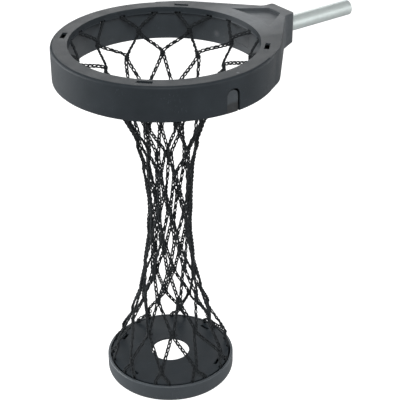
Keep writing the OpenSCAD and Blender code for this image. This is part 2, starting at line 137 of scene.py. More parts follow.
class Shader:
    """The nodes of a material, or of the world, that are being wired."""

    NOISE_ROUGHNESS = 0.55
    # The Mix node's sockets for two colours, and for their mix
    MIX_FIRST, MIX_SECOND, MIX_RESULT = 6, 7, 2

    def __init__(self, owner: Union[bpy.types.Material, bpy.types.World]) -> None:
        """Start without nodes.

        Args:
            owner: The new material or world.
        """
        owner.use_nodes = True
        self.owner = owner
        self.tree = owner.node_tree
        self.tree.nodes.clear()

    def node(
        self,
        kind: str,
        settings: Optional[Mapping[str, Any]] = None,
        inputs: Optional[Mapping[Union[str, int], Any]] = None,
    ) -> bpy.types.Node:
        """Add any node.

        Args:
            kind: The node's type.
            settings: Properties to set first; "stops" fills a ramp with (place, colour) pairs.
            inputs: Values or wires by socket name or number.

        Returns:
            The node.
        """
        node = self.tree.nodes.new(kind)
        for key, value in (settings or {}).items():
            if key == "stops":
                self._set_stops(node, value)
            else:
                setattr(node, key, value)
        for key, value in (inputs or {}).items():
            if isinstance(value, Wire):
                self.tree.links.new(value.socket, node.inputs[key])
            else:
                node.inputs[key].default_value = value
        return node

    @staticmethod
    def _set_stops(node: bpy.types.Node, stops: Sequence[tuple[float, Colour]]) -> None:
        """Fill a colour ramp.

        Args:
            node: The ramp node.
            stops: Places from 0 to 1 with their colours.
        """
        elements = node.color_ramp.elements
        while len(elements) < len(stops):
            elements.new(0.5)
        for element, (place, colour) in zip(elements, stops):
            element.position = place
            element.color = (*colour, 1.0)

    def wire(self, node: bpy.types.Node, output: Union[str, int] = 0) -> Wire:
        """An output of a node, as a wire."""
        return Wire(self, node.outputs[output])

    def place(self) -> Wire:
        """Where a point is in its piece, in metres."""
        return self.wire(self.node("ShaderNodeTexCoord"), "Object")

    def upward(self, low: float, high: float) -> Wire:
        """How far a surface faces up: 0 where its normal's Z is low, 1 where it is high."""
        normal = self.wire(self.node("ShaderNodeNewGeometry"), "Normal")
        return self.wire(self.node("ShaderNodeSeparateXYZ", inputs={0: normal}), "Z").fit(low, high)

    def noise(self, size: float, detail: float = 2.0, at: Optional[Wire] = None) -> Wire:
        """Soft noise from 0 to 1.

        Args:
            size: Width of its blotches, in metres.
            detail: How many finer layers it has.
            at: Where it is read; the piece's own place if left out.

        Returns:
            The noise's value.
        """
        inputs = {
            "Vector": at or self.place(),
            "Scale": 1 / size,
            "Detail": detail,
            "Roughness": self.NOISE_ROUGHNESS,
        }
        return self.wire(self.node("ShaderNodeTexNoise", inputs=inputs), "Fac")

    def stretched(self, scale: Place) -> Wire:
        """The piece's own place, scaled by a factor along each axis."""
        inputs = {"Vector": self.place(), "Scale": scale}
        return self.wire(self.node("ShaderNodeMapping", inputs=inputs))

    def tones(self, mask: Wire, stops: Sequence[tuple[float, Colour]]) -> Wire:
        """The colour that a mask picks from stops, each a place from 0 to 1 and its colour."""
        return self.wire(self.node("ShaderNodeValToRGB", {"stops": stops}, {0: mask}), "Color")

    def mix(self, mask: Operand, first: Tint, second: Tint) -> Wire:
        """Two colours mixed: the first where the mask is 0 and the second where it is 1."""
        inputs = {"Factor": mask, self.MIX_FIRST: first, self.MIX_SECOND: second}
        return self.wire(self.node("ShaderNodeMix", {"data_type": "RGBA"}, inputs), self.MIX_RESULT)

    def bump(self, height: Wire, distance: float, normal: Optional[Wire] = None) -> Wire:
        """A bumped normal.

        Args:
            height: Height from 0 to 1.
            distance: How far 1 stands out, in metres.
            normal: The normal to start from.

        Returns:
            The normal.
        """
        inputs: dict[str, Any] = {"Height": height, "Distance": distance, "Strength": 1.0}
        if normal is not None:
            inputs["Normal"] = normal
        return self.wire(self.node("ShaderNodeBump", inputs=inputs))

    def finish(self, **inputs: Any) -> bpy.types.Material:
        """Close the material with a Principled shader.

        Args:
            **inputs: Its sockets, with underscores for spaces.

        Returns:
            The material.
        """
        named = {key.replace("_", " "): value for key, value in inputs.items()}
        surface = self.node("ShaderNodeBsdfPrincipled", inputs=named)
        self.node("ShaderNodeOutputMaterial", inputs={"Surface": self.wire(surface)})
        return self.owner


# ---- finishes
# Most of a noise's values lie between these
NOISE_LOW, NOISE_HIGH = 0.3, 0.7


def shade(colour: Colour, factor: float) -> Colour:
    """A colour made lighter or darker by a factor."""
    return (colour[0] * factor, colour[1] * factor, colour[2] * factor)


def greyed(colour: Colour, share: float) -> Colour:
    """A colour moved toward the grey of its middle channel by a share."""
    red, green, blue = (channel + share * (colour[1] - channel) for channel in colour)
    return (red, green, blue)


class Faces(Enum):
    """Which faces of a piece a spot painted lighter or darker is on."""

    ALL = "all"
    TOP = "top"
    SIDES = "sides"


@dataclass(frozen=True)
class WearAndLightSpot:
    """A spot painted lighter or darker, fading out with distance: a real nick, painted highlights
    and painted shade.
    """

    centre: Place
    near: float
    far: float
    gain: float
    faces: Faces = Faces.ALL

    def mask(self, shader: Shader) -> Wire:
        """Where the place is.

        Args:
            shader: The material.

        Returns:
            1 nearer than near, falling to 0 at far, on the faces that it is on.
        """
        inputs = {0: shader.place(), 1: self.centre}
        apart = shader.node("ShaderNodeVectorMath", {"operation": "DISTANCE"}, inputs)
        mask = shader.wire(apart, "Value").fit(self.near, self.far, 1.0, 0.0)
        if self.faces is Faces.ALL:
            return mask
        upward = shader.upward(0.3, 0.95)
        return mask * (upward if self.faces is Faces.TOP else 1 - upward)


@dataclass(frozen=True)
class MouldedPlastic:
    """Moulded plastic with an even spark-eroded grain, faint blotches, scratches and soft edges."""

    name: str
    colour: Colour
    roughness: float = 0.46
    gloss: float = 0.5
    grain: float = 0.7 * MM
    relief: float = 0.035 * MM
    edge: float = 0.5 * MM
    blotch: float = 26 * MM
    tone: float = 0.12
    unevenness: float = 0.05
    scuff: float = 5 * MM
    scratch: float = 1.2 * MM
    scratch_patch: float = 30 * MM
    scratch_stretch: tuple[float, float] = (0.06, 0.3)
    scratch_gain: float = 3.0
    scratched: float = 0.25
    # Spots painted lighter or darker (a real nick, painted highlights and painted shade), and how
    # far their colour moves toward grey
    wear_and_light_spots: tuple[WearAndLightSpot, ...] = ()
    spot_grey_share: float = 0.5

    def material(self) -> bpy.types.Material:
        """Wire the finish.

        Returns:
            The material.
        """
        shader = Shader(bpy.data.materials.new(self.name))
        blotch = shader.noise(self.blotch, 3.0)
        fine = shader.noise(self.grain)
        scuff = shader.noise(self.scuff, 4.0)
        streak = self.streaks(shader)
        stops = [
            (NOISE_LOW, shade(self.colour, 1 - self.tone)),
            (NOISE_HIGH, shade(self.colour, 1 + self.tone)),
        ]
        colour = shader.tones(blotch * 0.7 + fine * 0.3, stops)
        scratched = (*shade(self.colour, self.scratch_gain), 1.0)
        colour = shader.mix(streak * self.scratched, colour, scratched)
        patchy = scuff.fit(NOISE_LOW, NOISE_HIGH, 0.75, 1.0) + streak * 0.2
        # Spots painted lighter or darker: a real nick, painted highlights and painted shade
        for spot in self.wear_and_light_spots:
            spot_tone = shade(greyed(self.colour, self.spot_grey_share), spot.gain)
            colour = shader.mix(spot.mask(shader) * patchy, colour, (*spot_tone, 1.0))
        smooth, rough = self.roughness - self.unevenness, self.roughness + self.unevenness
        roughness = blotch.fit(NOISE_LOW, NOISE_HIGH, smooth, rough)
        roughness = roughness + scuff.fit(0.55, 0.75, 0.0, self.unevenness)
        soft_edge = shader.node("ShaderNodeBevel", {"samples": 6}, {"Radius": self.edge})
        normal = shader.bump(fine, self.relief, shader.wire(soft_edge))
        return shader.finish(
            Base_Color=colour, Roughness=roughness, Normal=normal, Specular_IOR_Level=self.gloss
        )

    def streaks(self, shader: Shader) -> Wire:
        """Fine scratches that run two ways, in patches.

        Args:
            shader: The material.

        Returns:
            1 on a scratch and 0 beside it.
        """
        long, deep = self.scratch_stretch
        patches = shader.noise(self.scratch_patch, 1.0).fit(0.5, 0.62)
        one = shader.noise(self.scratch, 1.0, shader.stretched((long, 1.0, deep)))
        other = shader.noise(self.scratch, 1.0, shader.stretched((1.0, long, deep)))
        return patches * (one.fit(0.66, 0.72) + other.fit(0.67, 0.73)).fit(0.0, 1.0)


@dataclass(frozen=True)
class DrawnSteel:
    """Zinc-coated drawn steel: fine lines along X, soft zinc blotches."""

    name: str
    colour: Colour
    roughness: float = 0.36
    metallic: float = 0.9
    line: float = 0.35 * MM
    line_stretch: float = 0.012
    relief: float = 0.01 * MM
    cloud: float = 9 * MM

    def material(self) -> bpy.types.Material:
        """Wire the finish.

        Returns:
            The material.
        """
        shader = Shader(bpy.data.materials.new(self.name))
        lines = shader.noise(self.line, 2.0, shader.stretched((self.line_stretch, 1.0, 1.0)))
        cloud = shader.noise(self.cloud, 3.0)
        stops = [(0.25, shade(self.colour, 0.86)), (0.75, shade(self.colour, 1.08))]
        colour = shader.tones(cloud * 0.6 + lines * 0.4, stops)
        smooth, rough = self.roughness - 0.07, self.roughness + 0.09
        roughness = (cloud * 0.5 + lines * 0.5).fit(NOISE_LOW, NOISE_HIGH, smooth, rough)
        return shader.finish(
            Base_Color=colour,
            Metallic=self.metallic,
            Roughness=roughness,
            Normal=shader.bump(lines, self.relief),
        )


@dataclass(frozen=True)
class BraidedYarn:
    """Black polyester yarn with its ply twist and a faint sheen."""

    name: str
    colour: Colour
    gloss: float = 0.25
    ply: float = 1.1 * MM
    plies: int = 2
    relief: float = 0.06 * MM
    fuzz: float = 0.3 * MM

    def material(self) -> bpy.types.Material:
        """Wire the finish.

        Returns:
            The material.
        """
        shader = Shader(bpy.data.materials.new(self.name))
        along = shader.node("ShaderNodeUVMap", {"uv_map": YARN_MAP})
        split = shader.node("ShaderNodeSeparateXYZ", inputs={0: shader.wire(along)})
        u, v = shader.wire(split, "X"), shader.wire(split, "Y")
        turn = u * (2 * math.pi / self.ply) + v * (2 * math.pi * self.plies)
        twist = turn.sine() * 0.5 + 0.5
        fuzz = shader.noise(self.fuzz, 3.0)
        # The ply twist sets the colour too: painted shade in the grooves between plies and painted
        # highlight on their crests, with random fuzz
        stops = [(0.1, shade(self.colour, 0.6)), (0.9, shade(self.colour, 1.5))]
        return shader.finish(
            Base_Color=shader.tones(twist * 0.6 + fuzz * 0.4, stops),
            Roughness=fuzz.fit(0.2, 0.8, 0.55, 0.8),
            Normal=shader.bump(twist * 0.7 + fuzz * 0.3, self.relief),
            Specular_IOR_Level=self.gloss,
        )


# Spots painted lighter or darker: painted highlights and painted light on the arm, a real nick on
# the flange's edge, a painted highlight on the liner and painted shade on its tongues
# Painted highlight on the top faces around the arm
ARM_PAINTED_HIGHLIGHT = WearAndLightSpot((-150 * MM, 0.0, 8 * MM), near=38 * MM, far=75 * MM, gain=1.5, faces=Faces.TOP)
# Painted light: the side faces around the arm made lighter
ARM_SIDE_PAINTED_LIGHT = WearAndLightSpot(
    (-146 * MM, 0.0, 2 * MM), near=40 * MM, far=85 * MM, gain=2.8, faces=Faces.SIDES
)
# Painted highlight, the strongest, on the top faces of the arm
ARM_TOP_PAINTED_HIGHLIGHT = WearAndLightSpot(
    (-182 * MM, 4 * MM, 26 * MM), near=24 * MM, far=78 * MM, gain=4.9, faces=Faces.TOP
)
EDGE_NICK = WearAndLightSpot((-311.4 * MM, -141.5 * MM, 25.2 * MM), near=0.4 * MM, far=2.8 * MM, gain=5.0)
# Painted highlight: a small light spot on the liner's inner wall
LINER_PAINTED_HIGHLIGHT = WearAndLightSpot((-201.9 * MM, 47.5 * MM, -7.6 * MM), near=0.5 * MM, far=6.0 * MM, gain=2.3)
# Painted shade on the liner's two tongues, where they show on the outside
HOOP_X = -324 * MM
TONGUE_Y = 162 * MM
TONGUE_PAINTED_SHADE = tuple(
    WearAndLightSpot((HOOP_X, side * TONGUE_Y, -31 * MM), near=25 * MM, far=28 * MM, gain=0.3)
    for side in (-1, 1)
)
HOOP_PLASTIC = MouldedPlastic(
    "hoop_plastic",
    (0.0285, 0.0345, 0.0400),
    gloss=0.12,
    wear_and_light_spots=(ARM_PAINTED_HIGHLIGHT, ARM_SIDE_PAINTED_LIGHT, ARM_TOP_PAINTED_HIGHLIGHT, EDGE_NICK),
)
LINER_PLASTIC = MouldedPlastic(
    "liner_plastic",
    (0.043, 0.052, 0.060),
    roughness=0.42,
    grain=0.9 * MM,
    wear_and_light_spots=(LINER_PAINTED_HIGHLIGHT, *TONGUE_PAINTED_SHADE),
)
PLATE_PLASTIC = MouldedPlastic(
    "plate_plastic", (0.0205, 0.0265, 0.032), roughness=0.48, gloss=0.12
)
RIM_PLASTIC = MouldedPlastic("rim_plastic", (0.053, 0.063, 0.072), gloss=0.45)
TUBE_STEEL = DrawnSteel("galvanised_steel", (0.60, 0.66, 0.65), roughness=0.42, metallic=0.4)
ZINC_PLATE = DrawnSteel("zinc_plated_steel", (0.58, 0.59, 0.60), roughness=0.28)
PLUG_NYLON = MouldedPlastic("plug_plastic", (0.62, 0.60, 0.53), roughness=0.5)
NET_YARN = BraidedYarn("net_cord", (0.0155, 0.0185, 0.021))


# ---- curves and meshes
UP = np.array([0.0, 0.0, 1.0])
LEVEL = np.array([1.0, 1.0, 0.0])


def polar(radius: float, angle: float, z: float) -> np.ndarray:
    """A point from its radius, its angle in degrees and its height."""
    a = math.radians(angle)
    return np.array([radius * math.cos(a), radius * math.sin(a), z])


def unit_rows(rows: np.ndarray) -> np.ndarray:
    """Each row scaled to length 1."""
    return rows / np.maximum(np.linalg.norm(rows, axis=1, keepdims=True), 1e-12)


def level_unit(direction: np.ndarray) -> np.ndarray:
    """A direction without its height, scaled to length 1."""
    return unit_rows(np.array([direction * LEVEL]))[0]


def lengths(line: np.ndarray) -> np.ndarray:
    """How far along a line each of its points is."""
    steps = np.linalg.norm(np.diff(line, axis=0), axis=1)
    return np.concatenate([[0], np.cumsum(steps)])


def read_along(places: np.ndarray, along: np.ndarray, rows: np.ndarray) -> np.ndarray:
    """Rows of three numbers, given along a line, read at other places along it."""
    return np.stack([np.interp(places, along, rows[:, i]) for i in range(3)], axis=1)


def run_on(points: np.ndarray) -> np.ndarray:
    """The points, and one more straight on at either end."""
    return np.vstack([2 * points[0] - points[1], points, 2 * points[-1] - points[-2]])


def smooth_path(points: np.ndarray, step: float) -> np.ndarray:
    """Run a smooth curve through points and space its samples evenly.

    Args:
        points: The points that it passes.
        step: Distance between samples.

    Returns:
        The samples.
    """
    ends = run_on(points)
    pieces = []
    for i in range(1, len(ends) - 2):
        before, a, b, after = ends[i - 1 : i + 3]
        span = np.linalg.norm(b - a)
        pull_a = (b - before) * span / (np.linalg.norm(a - before) + span)
        pull_b = (after - a) * span / (np.linalg.norm(after - b) + span)
        t = np.linspace(0, 1, max(4, int(span / step) * 2), endpoint=False)[:, None]
        pieces.append(
            (2 * t**3 - 3 * t**2 + 1) * a
            + (t**3 - 2 * t**2 + t) * pull_a
            + (3 * t**2 - 2 * t**3) * b
            + (t**3 - t**2) * pull_b
        )
    dense = np.vstack(pieces + [points[-1:]])
    along = lengths(dense)
    count = max(3, int(round(along[-1] / step)) + 1)
    return read_along(np.linspace(0, along[-1], count), along, dense)


def twice_as_fine(points: np.ndarray) -> np.ndarray:
    """Add a point on a smooth curve between every two points.

    Args:
        points: The points.

    Returns:
        The points and those between them.
    """
    ends = run_on(points)
    between = (9 * (ends[1:-2] + ends[2:-1]) - ends[:-3] - ends[3:]) / 16
    fine = np.empty((2 * len(points) - 1, points.shape[1]))
    fine[0::2], fine[1::2] = points, between
    return fine


class YarnMesh:
    """Gathers swept yarns, with sections of a few sides, and makes one mesh of them."""

    SIDES = 5

    def __init__(self) -> None:
        """Start empty."""
        self.points: list[np.ndarray] = []
        self.faces: list[np.ndarray] = []
        self.places: list[np.ndarray] = []
        self.count = 0

    def sweep(self, line: np.ndarray, hint: np.ndarray, radius: float) -> None:
        """Add a yarn along a line.

        Args:
            line: Its centre line.
            hint: A direction across the line at each of its points.
            radius: The yarn's radius.
        """
        tangent = unit_rows(np.gradient(line, axis=0))
        across = unit_rows(hint - (hint * tangent).sum(1, keepdims=True) * tangent)
        third = np.cross(tangent, across)
        turn = (2 * math.pi * np.arange(self.SIDES) / self.SIDES)[None, :, None]
        ring = np.cos(turn) * across[:, None] + np.sin(turn) * third[:, None]
        self.points.append((line[:, None] + radius * ring).reshape(-1, 3))
        i, q = np.meshgrid(np.arange(len(line) - 1), np.arange(self.SIDES), indexing="ij")
        here, ahead = i * self.SIDES, (i + 1) * self.SIDES
        after = (q + 1) % self.SIDES
        quads = np.stack([here + q, here + after, ahead + after, ahead + q], axis=-1)
        self.faces.append(quads.reshape(-1, 4) + self.count)
        along = lengths(line)
        around = np.stack([q, q + 1, q + 1, q], axis=-1) / self.SIDES
        forward = np.stack([along[i], along[i], along[i + 1], along[i + 1]], axis=-1)
        self.places.append(np.stack([forward, around], axis=-1).reshape(-1, 2))
        self.count += len(line) * self.SIDES

    def build(self, name: str) -> bpy.types.Object:
        """Make the object.

        Args:
            name: Its name.

        Returns:
            The object, in the scene.
        """
        mesh = bpy.data.meshes.new(name)
        points, faces = np.vstack(self.points), np.vstack(self.faces)
        mesh.from_pydata(points.tolist(), [], faces.tolist())
        layer = mesh.uv_layers.new(name=YARN_MAP)
        layer.data.foreach_set("uv", np.vstack(self.places).ravel().astype(np.float32))
        mesh.shade_smooth()
        return new_object(name, mesh)


# ---- net
class Band(Enum):
    """A band of the net: the rows it runs between, and the bodies at its two ends."""

    TOP = ("net_top", (0, 3), ("hoop", "upper_net"))
    UPPER = ("net_upper", (3, 5), ("upper_net", "waist_net"))
    WAIST = ("net_waist", (5, 7), ("waist_net", "lower_net"))
    LOWER = ("net_lower", (7, 12), ("lower_net", "base"))

    def __init__(self, node: str, rows: tuple[int, int], bodies: tuple[str, str]) -> None:
        """Name the CAD node that it replaces, its end rows and its end bodies."""
        self.node = node
        self.rows = rows
        self.bodies = bodies


@dataclass
class Braid:
    """The net's leg: a chain of open loops, each drawn through the head of the one before."""

    step: float = 1.2 * MM
    half_width: float = 1.85 * MM
    depth: float = 0.85 * MM
    yarn: float = 2.0 * MM
    stitch: float = 6.3 * MM
    # A joint's winding; tie_bulge is how far it stands out, in depths of the leg
    tie_yarn: float = 2.0 * MM
    tie_turns: int = 3
    tie_steps: int = 7
    tie_bulge: float = 2.0
    # A slack loop beside a joint; slack_tall and slack_lean are shares of its radius
    slack_yarn: float = 1.6 * MM
    slack_r: float = 1.7 * MM
    slack_tall: float = 1.25
    slack_lean: float = 0.4
    slack_steps: int = 10
    # One stitch: place along the leg in stitches, then across and out in half widths and depths
    STITCH: ClassVar[tuple[Place, ...]] = (
        (0.02, 0.40, -0.5),
        (0.35, 0.95, 0.9),
        (0.75, 1.00, 0.6),
        (1.12, 0.62, -0.1),
        (1.25, 0.00, -0.5),
        (1.12, -0.62, -0.1),
        (0.75, -1.00, 0.6),
        (0.35, -0.95, 0.9),
        (0.02, -0.40, -0.5),
        (0.50, -0.62, -1.2),
    )

    def chain(self, count: int, length: float, phase: int) -> np.ndarray:
        """The yarn's points in a straight row of stitches.

        Args:
            count: How many stitches it has.
            length: Length of each.
            phase: 0 or 1: the side that the first stitch starts on.

        Returns:
            Each point's place along the row, across it and out of it.
        """
        points = []
        for number in range(count):
            side = (-1) ** (number + phase) * self.half_width
            for place, across, rise in self.STITCH:
                points.append(((number + place) * length, across * side, rise * self.depth))
        return twice_as_fine(np.array(points))

    def lay(
        self, mesh: YarnMesh, path: np.ndarray, out: np.ndarray, twist: np.ndarray, phase: int
    ) -> None:
        """Lay the leg's yarn along a path.

        Args:
            mesh: Takes the yarn.
            path: Evenly spaced points.
            out: Direction away from the net's axis at each point.
            twist: How far the braid is turned about its path at each point, in radians.
            phase: 0 or 1: the side that the first stitch starts on.
        """
        tangent = unit_rows(np.gradient(path, axis=0))
        side = unit_rows(np.cross(tangent, out))
        face = np.cross(side, tangent)
        cos, sin = np.cos(twist)[:, None], np.sin(twist)[:, None]
        side, face = side * cos + face * sin, face * cos - side * sin
        along = lengths(path)
        count = max(1, round(along[-1] / self.stitch))
        local = self.chain(count, along[-1] / count, phase)
        at = np.clip(local[:, 0], 0, along[-1])
        here, sideways, outward = (read_along(at, along, rows) for rows in (path, side, face))
        line = here + local[:, 1:2] * sideways + local[:, 2:3] * outward
        mesh.sweep(line, outward, self.yarn / 2)

    def tie(
        self, mesh: YarnMesh, at: np.ndarray, out: np.ndarray, half_width: float, half_height: float
    ) -> None:
        """Wind the joint's yarn around two legs.

        Args:
            mesh: Takes the yarn.
            at: The joint's centre.
            out: Direction away from the net's axis.
            half_width: Half the width of the winding.
            half_height: Half its height.
        """
        face = level_unit(out)
        side = np.cross(UP, face)
        whole = 2 * math.pi * self.tie_turns
        turn = np.linspace(0, whole, self.tie_turns * self.tie_steps + 1)[:, None]
        bulge = self.tie_bulge * self.depth
        line = at + half_width * np.cos(turn) * side + bulge * np.sin(turn) * face
        line = line + half_height * (2 * turn / whole - 1) * UP
        mesh.sweep(line, np.tile(UP, (len(line), 1)), self.tie_yarn / 2)

    def open_loop(self, mesh: YarnMesh, at: np.ndarray, out: np.ndarray) -> None:
        """Leave a slack loop of yarn open beside a joint.

        Args:
            mesh: Takes the yarn.
            at: The loop's centre.
            out: Direction away from the net's axis.
        """
        face = level_unit(out)
        side = np.cross(UP, face)
        turn = np.linspace(0, 2 * math.pi, self.slack_steps + 1)[:, None]
        line = at + self.slack_r * (np.cos(turn) * side + self.slack_tall * np.sin(turn) * UP)
        line = line + self.slack_lean * self.slack_r * np.sin(turn) * face
        mesh.sweep(line, np.tile(face, (len(line), 1)), self.slack_yarn / 2)


@dataclass
class Net:
    """The knotless net, hung from the hoop and held in the base's groove.

    Heights are from the hoop's top and angles are in degrees.
    """

    meshes: int = 10
    seed: int = 7
    # Rows of joints
    last_row: int = 11
    first_row: float = 28 * MM
    second_row: float = 50 * MM
    drop: float = 497 * MM
    last_rise: float = 19 * MM
    waist_r: float = 30 * MM
    # At the hoop: the legs run out through the gap over the liner to the loops behind it
    liner_r: float = 131 * MM
    loop_r: float = 135.8 * MM
    loop_share: float = 0.86
    gap_z: float = -9.1 * MM
    gap_in: float = 2 * MM
    leg_spread: float = 6.5
    # At the base: the legs go down the groove and under the plate
    base_turn: float = 11.0
    groove_r: float = 87.6 * MM
    groove_top: float = 4 * MM
    plate_t: float = 2.5 * MM
    plate_gap: float = 1.4 * MM
    under_r: float = 84.8 * MM
    under_z: float = -5.9 * MM
    under_turn: float = 2.2
    # A joint: how far each leg is off its middle, half its height, and what its winding takes
    joint_off: float = 2.0 * MM
    joint_half: float = 5.0 * MM
    wound_height: float = 0.9
    wound_width: float = 0.7
    # Random slack: play left at the end rows, rows until a joint hangs free, and its play there
    end_play: float = 0.6
    free_rows: float = 3.0
    radius_play: float = 0.05
    around_play: float = 3 * MM
    rise_play: float = 2.5 * MM
    # Joints whose draw is above slack_from have a slack loop, slack_off past the leg
    slack_from: float = 0.3
    slack_off: float = 3.1 * MM
    # Twist of a leg about its own path, in radians, and its half waves over a mesh's two strands
    twist: float = 0.5
    twist_play: float = 0.9
    twist_start: float = 2.1
    twist_waves: int = 4
    # The way that the rows shift, and the side that the meshes bunch towards
    shift_angle: float = -36.3
    bunch_angle: float = 143.7
    bunch: float = 6.0

    # Radius of each row, as a share of the way from the waist to the hoop, then to the base
    UPPER_SHARE: ClassVar[tuple[float, ...]] = (0.83, 0.53, 0.30, 0.145, 0.07, 0.01)
    LOWER_SHARE: ClassVar[tuple[float, ...]] = (0.04, 0.12, 0.28, 0.52, 0.86)
    # How each row hangs out of true: share of its radius, turn in degrees, shift and rise in mm
    HANG: ClassVar[tuple[tuple[float, float, float, float], ...]] = (
        (1.00, 0.0, 0.0, 0.0),
        (1.00, 0.0, 0.0, 0.0),
        (1.00, 1.0, 1.0, 0.0),
        (0.96, 2.0, 2.0, -1.0),
        (0.93, 3.0, 2.0, 9.0),
        (0.93, 0.0, 4.0, -2.0),
        (0.95, -4.0, 2.0, 0.0),
        (0.98, -7.0, 1.0, -1.0),
        (0.98, -5.0, 1.5, 0.0),
        (0.98, -4.0, 2.0, 0.0),
        (1.02, -1.5, 2.0, -1.0),
    )

    def __post_init__(self) -> None:
        """Set up the braid, the axis and how far each joint hangs out of true."""
        self.braid = Braid()
        self.pitch = 360 / self.meshes
        low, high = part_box("hoop_liner")
        self.axis = np.array([(low.x + high.x) / 2, 0.0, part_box("hoop_shell")[1].z])
        dice = random.Random(self.seed)
        self.slack = {
            (row, joint): tuple(dice.uniform(-1, 1) for _ in range(3))
            for row in range(1, self.last_row + 1)
            for joint in range(self.meshes)
        }
        self.lean = {
            (mesh, side, row): dice.uniform(-1, 1)
            for mesh in range(self.meshes)
            for side in (-1, 1)
            for row in range(self.last_row + 1)
        }

    def row_z(self, row: int) -> float:
        """Height of a row of joints below the hoop's top."""
        if row == 1:
            return -self.first_row
        span = (self.drop - self.last_rise - self.second_row) / (self.last_row - 2)
        return -self.second_row - (row - 2) * span

    def row_r(self, row: int) -> float:
        """Radius of a row of joints."""
        if row <= len(self.UPPER_SHARE):
            return self.waist_r + (self.liner_r - self.waist_r) * self.UPPER_SHARE[row - 1]
        share = self.LOWER_SHARE[row - 1 - len(self.UPPER_SHARE)]
        return self.waist_r + (self.groove_r - self.waist_r) * share

    def joint(self, mesh: int, side: int, row: int) -> np.ndarray:
        """Where a strand passes a joint.

        Args:
            mesh: The strand's mesh, from 0.
            side: -1 for its first strand and 1 for its second.
            row: The row of joints, from 1.

        Returns:
            The point.
        """
        odd = row % 2 == 1
        number = (mesh + (side > 0 if odd else 0)) % self.meshes
        around, out, rise = self.slack[(row, number)]
        free = min(1.0, (min(row - 1, self.last_row - row) + self.end_play) / self.free_rows)
        share, turn, shift, lift = self.HANG[row - 1]
        z = self.row_z(row)
        radius = self.row_r(row) * share * (1 + self.radius_play * out * free)
        off = math.degrees(self.joint_off / radius)
        angle = (mesh + 0.5) * self.pitch + side * (self.pitch / 2 - off if odd else off)
        angle += turn + self.base_turn * min(1.0, -z / self.drop)
        angle += math.degrees(self.around_play * around * free / radius)
        angle -= self.bunch * free * math.sin(math.radians(angle - self.bunch_angle))
        at = polar(radius, angle, z + self.rise_play * rise * free + lift * MM)
        return at + polar(shift * MM, self.shift_angle, 0.0)

    def run(self, mesh: int, side: int, rows: range, cut: Sequence[int]) -> np.ndarray:
        """A strand's points past several rows, straight down through each joint.

        Args:
            mesh: The strand's mesh.
            side: -1 or 1.
            rows: The rows from top to bottom.
            cut: Rows where the band ends, in the middle of the joint.

        Returns:
            The points from top to bottom.
        """
        half = self.joint_half * UP
        points = []
        for row in rows:
            at = self.joint(mesh, side, row)
            if row in cut and row == rows[0]:
                points += [at, at - half]
            elif row in cut and row == rows[-1]:
                points += [at + half, at]
            else:
                points += [at + half * self.wound_height, at - half * self.wound_height]
        return np.array(points)

    def top_half(self, mesh: int, side: int) -> np.ndarray:
        """From the gap under the hoop's skirt to the loop behind the liner."""
        angle = (mesh + 0.5) * self.pitch
        spread = side * self.leg_spread
        return np.array([
            polar(self.liner_r - self.gap_in, angle + spread, self.gap_z),
            polar(self.loop_r, angle + self.loop_share * spread, self.gap_z),
        ])

    def foot_half(self, mesh: int, side: int) -> np.ndarray:
        """From the base's groove to the loop under its plate."""
        angle = (mesh + 0.5) * self.pitch + side * (self.pitch / 2 - self.leg_spread)
        angle += self.base_turn
        return np.array([
            polar(self.groove_r, angle, -self.drop + self.groove_top),
            polar(self.groove_r, angle, -self.drop - self.plate_t - self.plate_gap),
            polar(self.under_r, angle - side * self.under_turn, -self.drop + self.under_z),
        ])

    def strand_points(self, band: Band, mesh: int) -> list[np.ndarray]:
        """The paths of a mesh's strands in a band.

        Args:
            band: The band.
            mesh: The mesh's number.

        Returns:
            One path where the two strands are joined by a loop, else two.
        """
        first, last = band.rows
        if band is Band.TOP:
            left, right = (self.run(mesh, side, range(1, last + 1), [last]) for side in (-1, 1))
            loop = [self.top_half(mesh, -1), self.top_half(mesh, 1)[::-1]]
            return [np.vstack([left[::-1], *loop, right])]
        if band is Band.LOWER:
            left, right = (self.run(mesh, side, range(first, last), [first]) for side in (-1, 1))
            loop = [self.foot_half(mesh, -1), self.foot_half(mesh, 1)[::-1]]
            return [np.vstack([left, *loop, right[::-1]])]
        return [self.run(mesh, side, range(first, last + 1), band.rows) for side in (-1, 1)]

    def lay_mesh(self, yarns: YarnMesh, band: Band, mesh: int) -> None:
        """Lay the legs of one mesh in a band.

        Args:
            yarns: Takes the yarns.
            band: The band.
            mesh: The mesh's number.
        """
        strands = self.strand_points(band, mesh)
        for side, points in zip((-1, 1), strands):
            path = smooth_path(points, self.braid.step)
            # A trace of height keeps the direction from vanishing
            out = path * LEVEL + 1e-6 * UP
            lean = self.lean[(mesh, side, band.rows[0])]
            wave = math.pi * self.twist_waves / len(strands) * np.linspace(0, 1, len(path))
            twist = (self.twist + self.twist_play * lean) * np.sin(wave + self.twist_start * lean)
            self.braid.lay(yarns, path + self.axis, out, twist, (mesh + (side > 0)) % 2)

    def tie_joints(self, yarns: YarnMesh, band: Band) -> None:
        """Wind the joints of a band, and leave a slack loop beside some of them.

        Args:
            yarns: Takes the yarns.
            band: The band; the joints of its first row belong to the band above it.
        """
        first, last = band.rows
        half_width = self.joint_off + self.wound_width * self.braid.half_width
        for row in range(first + 1, min(last, self.last_row) + 1):
